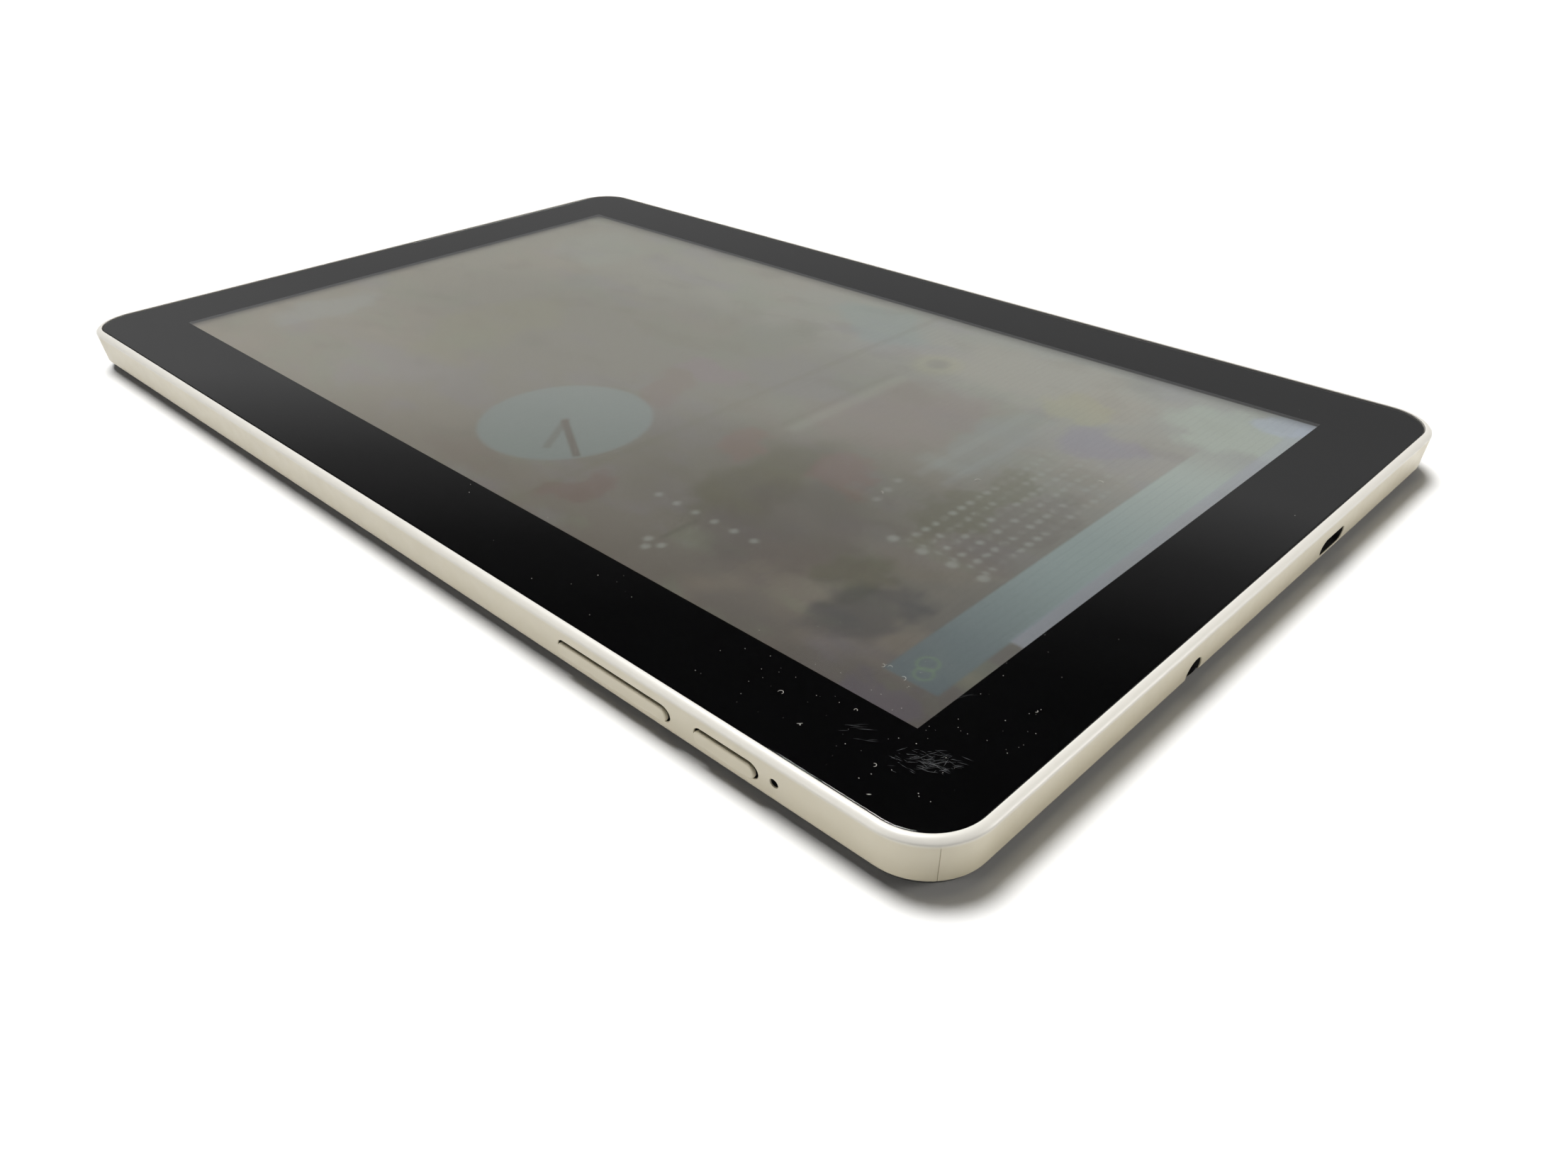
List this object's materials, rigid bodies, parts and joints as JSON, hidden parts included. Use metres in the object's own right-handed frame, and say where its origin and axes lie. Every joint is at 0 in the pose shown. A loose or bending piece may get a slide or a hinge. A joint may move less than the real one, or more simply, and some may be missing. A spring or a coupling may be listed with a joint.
{
  "type": "tablet computer",
  "caption": "Flat tablet computer with a glass front, a tapered metal side frame, a rear cover, a volume rocker and a power button that press in, a charging port and a headphone jack.",
  "frame": {"origin": "on the surface that the tablet lies on, under the middle of its outline", "axes": "+X along the length, towards the short side with the charging port and the headphone jack; -Y towards the long side with the keys; +Z out of the screen"},
  "size_m": [0.2588, 0.1622, 0.0096],
  "materials": {
    "frame_paint": "satin warm light grey paint on a metal band",
    "cover_paint": "satin dark grey moulded shell",
    "cover_glass": "polished cover glass, printed black round the edge",
    "adhesive": "black foam adhesive tape",
    "touch_film": "clear conductive film",
    "lcd": "lit liquid crystal panel, washed out by glare",
    "diffuser": "white optical plastic",
    "pressed_steel": "thin pressed steel",
    "circuit_board": "green solder mask",
    "chip": "black moulded epoxy",
    "battery_pouch": "dark laminated pouch",
    "flex_circuit": "amber polyimide",
    "black_plastic": "black moulded plastic",
    "lens": "dark lens glass",
    "lamp": "white lamp row"
  },
  "bodies": {
    "tablet_body": {"side_frame": "frame_paint", "rear_cover": "cover_paint", "mid_chassis": "pressed_steel", "cover_glass": "cover_glass", "glass_adhesive": "adhesive", "touch_sensor": "touch_film", "lcd_panel": "lcd", "diffuser_sheet": "diffuser", "light_guide": "diffuser", "led_strip": "lamp", "lcd_tray": "pressed_steel", "volume_up_switch": "black_plastic", "volume_down_switch": "black_plastic", "power_switch": "black_plastic", "side_key_board": "circuit_board", "microphone": "pressed_steel", "main_board": "circuit_board", "processor_shield": "pressed_steel", "radio_shield": "pressed_steel", "processor": "chip", "memory_chip": "chip", "radio_chip": "chip", "power_chip": "chip", "usb_port_shell": "pressed_steel", "usb_tongue": "black_plastic", "audio_jack": "black_plastic", "display_flex": "flex_circuit", "touch_flex": "flex_circuit", "battery_cell_left": "battery_pouch", "battery_cell_right": "battery_pouch", "battery_protection_board": "circuit_board", "battery_lead": "black_plastic", "speaker_left": "black_plastic", "speaker_right": "black_plastic", "front_camera": "black_plastic", "rear_camera": "black_plastic", "rear_camera_window": "lens", "wifi_antenna": "flex_circuit", "chassis_screw_1": "pressed_steel", "chassis_screw_2": "pressed_steel", "chassis_screw_3": "pressed_steel", "chassis_screw_4": "pressed_steel", "chassis_screw_5": "pressed_steel", "chassis_screw_6": "pressed_steel", "board_screw_1": "pressed_steel", "board_screw_2": "pressed_steel", "board_screw_3": "pressed_steel", "board_screw_4": "pressed_steel"},
    "volume_rocker": {"volume_rocker": "frame_paint"},
    "power_button": {"power_button": "frame_paint"}
  },
  "joints": [
    {"name": "volume_rocker_tilt", "type": "hinge", "parent": "tablet_body", "child": "volume_rocker", "pos_m": [0.06995, -0.0781, 0.0052], "axis": [0, 0, 1], "range_deg": [-1.15, 1.15], "stiffness_Nm_per_rad": 0.6},
    {"name": "power_button_press", "type": "slide", "parent": "tablet_body", "child": "power_button", "axis": [0, 1, 0], "range_m": [0, 0.0003], "stiffness_N_per_m": 4000}
  ]
}
